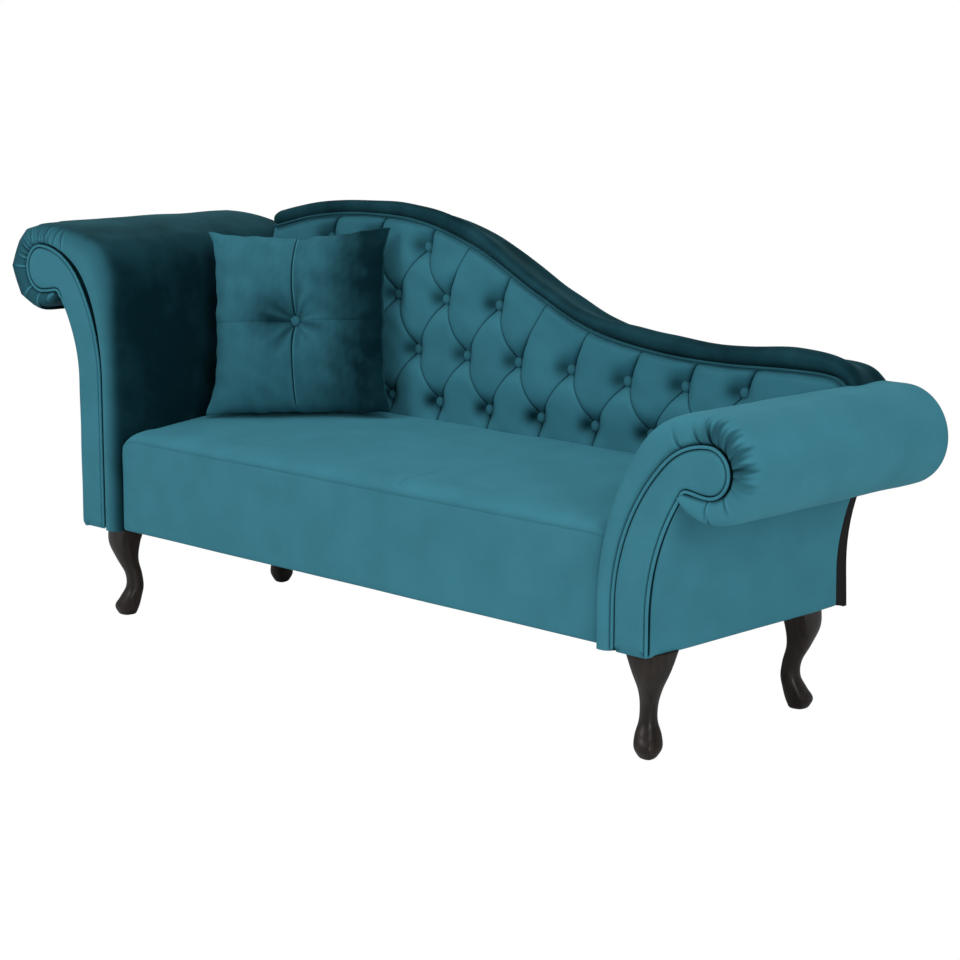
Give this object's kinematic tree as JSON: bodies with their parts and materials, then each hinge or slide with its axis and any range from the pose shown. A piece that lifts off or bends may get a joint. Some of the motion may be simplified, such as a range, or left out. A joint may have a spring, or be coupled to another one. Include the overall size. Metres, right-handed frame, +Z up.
{
  "type": "chaise longue",
  "caption": "Upholstered chaise longue with scroll arms of unequal height, serpentine buttoned back, cabriole legs and a loose scatter cushion.",
  "frame": {"origin": "on the floor under the middle of the overall box", "axes": "+X towards the low foot end, +Y towards the back, +Z up"},
  "size_m": [2.043, 0.574, 0.8781],
  "materials": {
    "velvet": "teal velvet",
    "velvet_shade": "teal velvet, nap turned away",
    "velvet_dark": "teal velvet, nap laid down",
    "lining": "black non-woven",
    "leg_wood": "dark stained and lacquered",
    "steel": "zinc plated",
    "foam": "open-cell foam",
    "felt": "needled felt",
    "twine": "waxed twine",
    "liner_board": "grey board",
    "plywood": "sawn plywood",
    "frame_wood": "planed softwood"
  },
  "bodies": {
    "chaise": {"arm_bolts": "steel", "back_border": "velvet_dark", "back_bottom_rail": "frame_wood", "back_button_ties": "twine", "back_buttons": "velvet", "back_lining": "lining", "back_panel": "plywood", "back_piping": "velvet", "back_posts": "frame_wood", "back_rear_rail": "frame_wood", "back_top_rail": "frame_wood", "back_tufted_pad": "velvet", "bottom_lining": "lining", "foot_arm_base_board": "plywood", "foot_arm_cover": "velvet", "foot_arm_facing": "velvet", "foot_arm_foam": "foam", "foot_arm_front_board": "plywood", "foot_arm_liner": "liner_board", "foot_arm_outside": "velvet", "foot_arm_piping": "velvet", "foot_arm_rails": "frame_wood", "foot_arm_rear_board": "plywood", "foot_arm_side_rail": "frame_wood", "head_arm_base_board": "plywood", "head_arm_cover": "velvet_shade", "head_arm_facing": "velvet", "head_arm_foam": "foam", "head_arm_front_board": "plywood", "head_arm_liner": "liner_board", "head_arm_outside": "velvet", "head_arm_piping": "velvet", "head_arm_rails": "frame_wood", "head_arm_rear_board": "plywood", "head_arm_side_rail": "frame_wood", "leg_bolts": "steel", "leg_front_foot": "leg_wood", "leg_front_head": "leg_wood", "leg_rear_foot": "leg_wood", "leg_rear_head": "leg_wood", "leg_tee_nuts": "steel", "seat_apron": "velvet", "seat_bearers": "frame_wood", "seat_corner_blocks": "frame_wood", "seat_cover": "velvet", "seat_felt": "felt", "seat_foam": "foam", "seat_foot_rail": "frame_wood", "seat_front_rail": "frame_wood", "seat_head_rail": "frame_wood", "seat_rear_rail": "frame_wood", "seat_spring_clips": "steel", "seat_springs": "steel"},
    "cushion": {"cushion_buttons": "velvet", "cushion_cover": "velvet", "cushion_filling": "foam"}
  },
  "joints": [
    {"name": "cushion_lift", "type": "slide", "parent": "chaise", "child": "cushion", "axis": [0, -0.5, 0.866], "range_m": [0, 0.55]}
  ]
}
